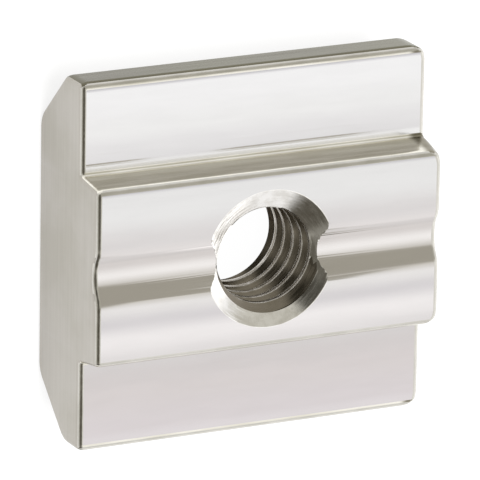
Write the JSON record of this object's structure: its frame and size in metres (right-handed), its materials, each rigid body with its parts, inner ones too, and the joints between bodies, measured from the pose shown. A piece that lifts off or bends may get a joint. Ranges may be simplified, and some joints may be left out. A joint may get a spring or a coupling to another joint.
{
  "type": "t slot nut",
  "caption": "Slide-in nut for a T-slot profile: wings with slanted flanks, a raised rib with a shallow round groove, and a threaded through bore countersunk at both ends.",
  "frame": {"origin": "middle of the flat back face that the nut lies on, on the bore's axis", "axes": "+X along the slot and the nut's length, +Y across the wings, +Z along the bore out of the rib face, towards the slot's mouth"},
  "size_m": [0.016, 0.016, 0.0058],
  "materials": {
    "plated_steel": "cold-drawn steel bar, sawn to length, tumbled and bright plated"
  },
  "bodies": {
    "root": {"nut_body": "plated_steel"}
  },
  "joints": []
}
